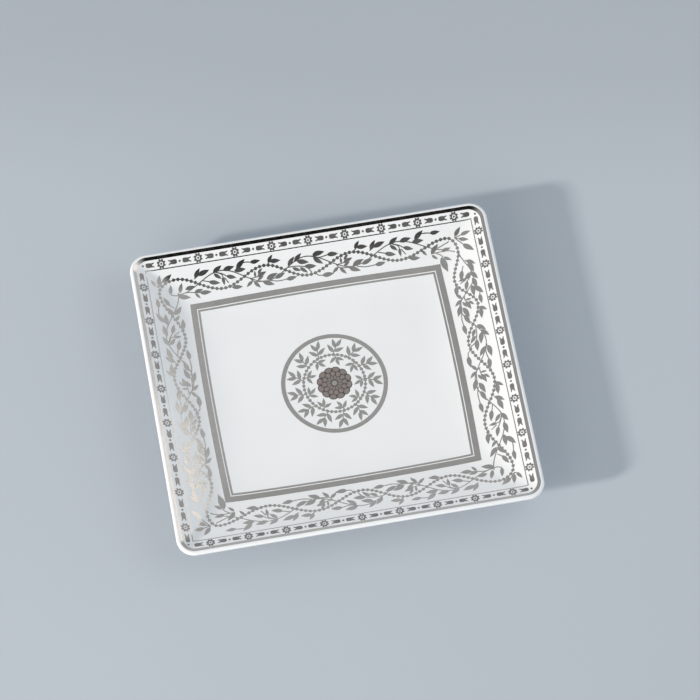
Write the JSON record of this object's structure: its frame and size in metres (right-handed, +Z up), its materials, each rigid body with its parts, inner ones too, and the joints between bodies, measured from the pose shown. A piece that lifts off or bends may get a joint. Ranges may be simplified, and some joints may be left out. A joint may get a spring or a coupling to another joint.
{
  "type": "ceramic tray",
  "caption": "Shallow rectangular porcelain tray with rounded lip, foot ring and platinum border, frame and medallion; holds small things.",
  "frame": {"origin": "middle of the foot ring's resting plane, under the middle of the tray", "axes": "+Z up out of the well, +X along the tray's long side, +Y towards the far long side of the picture"},
  "size_m": [0.2, 0.178, 0.0202],
  "materials": {
    "porcelain": "clear glossy glaze",
    "platinum": "fired platinum film, soft mirror",
    "dark_platinum": "fired platinum film with fine dark engraving"
  },
  "bodies": {
    "root": {"tray_body": "porcelain", "rim_band": "platinum", "frieze": "platinum", "vine_back": "platinum", "vine_front": "platinum", "vine_left": "platinum", "vine_right": "platinum", "frame_band": "platinum", "frame_line": "platinum", "medallion_ring": "platinum", "medallion_wreath": "platinum", "medallion_rosette": "dark_platinum"}
  },
  "joints": []
}
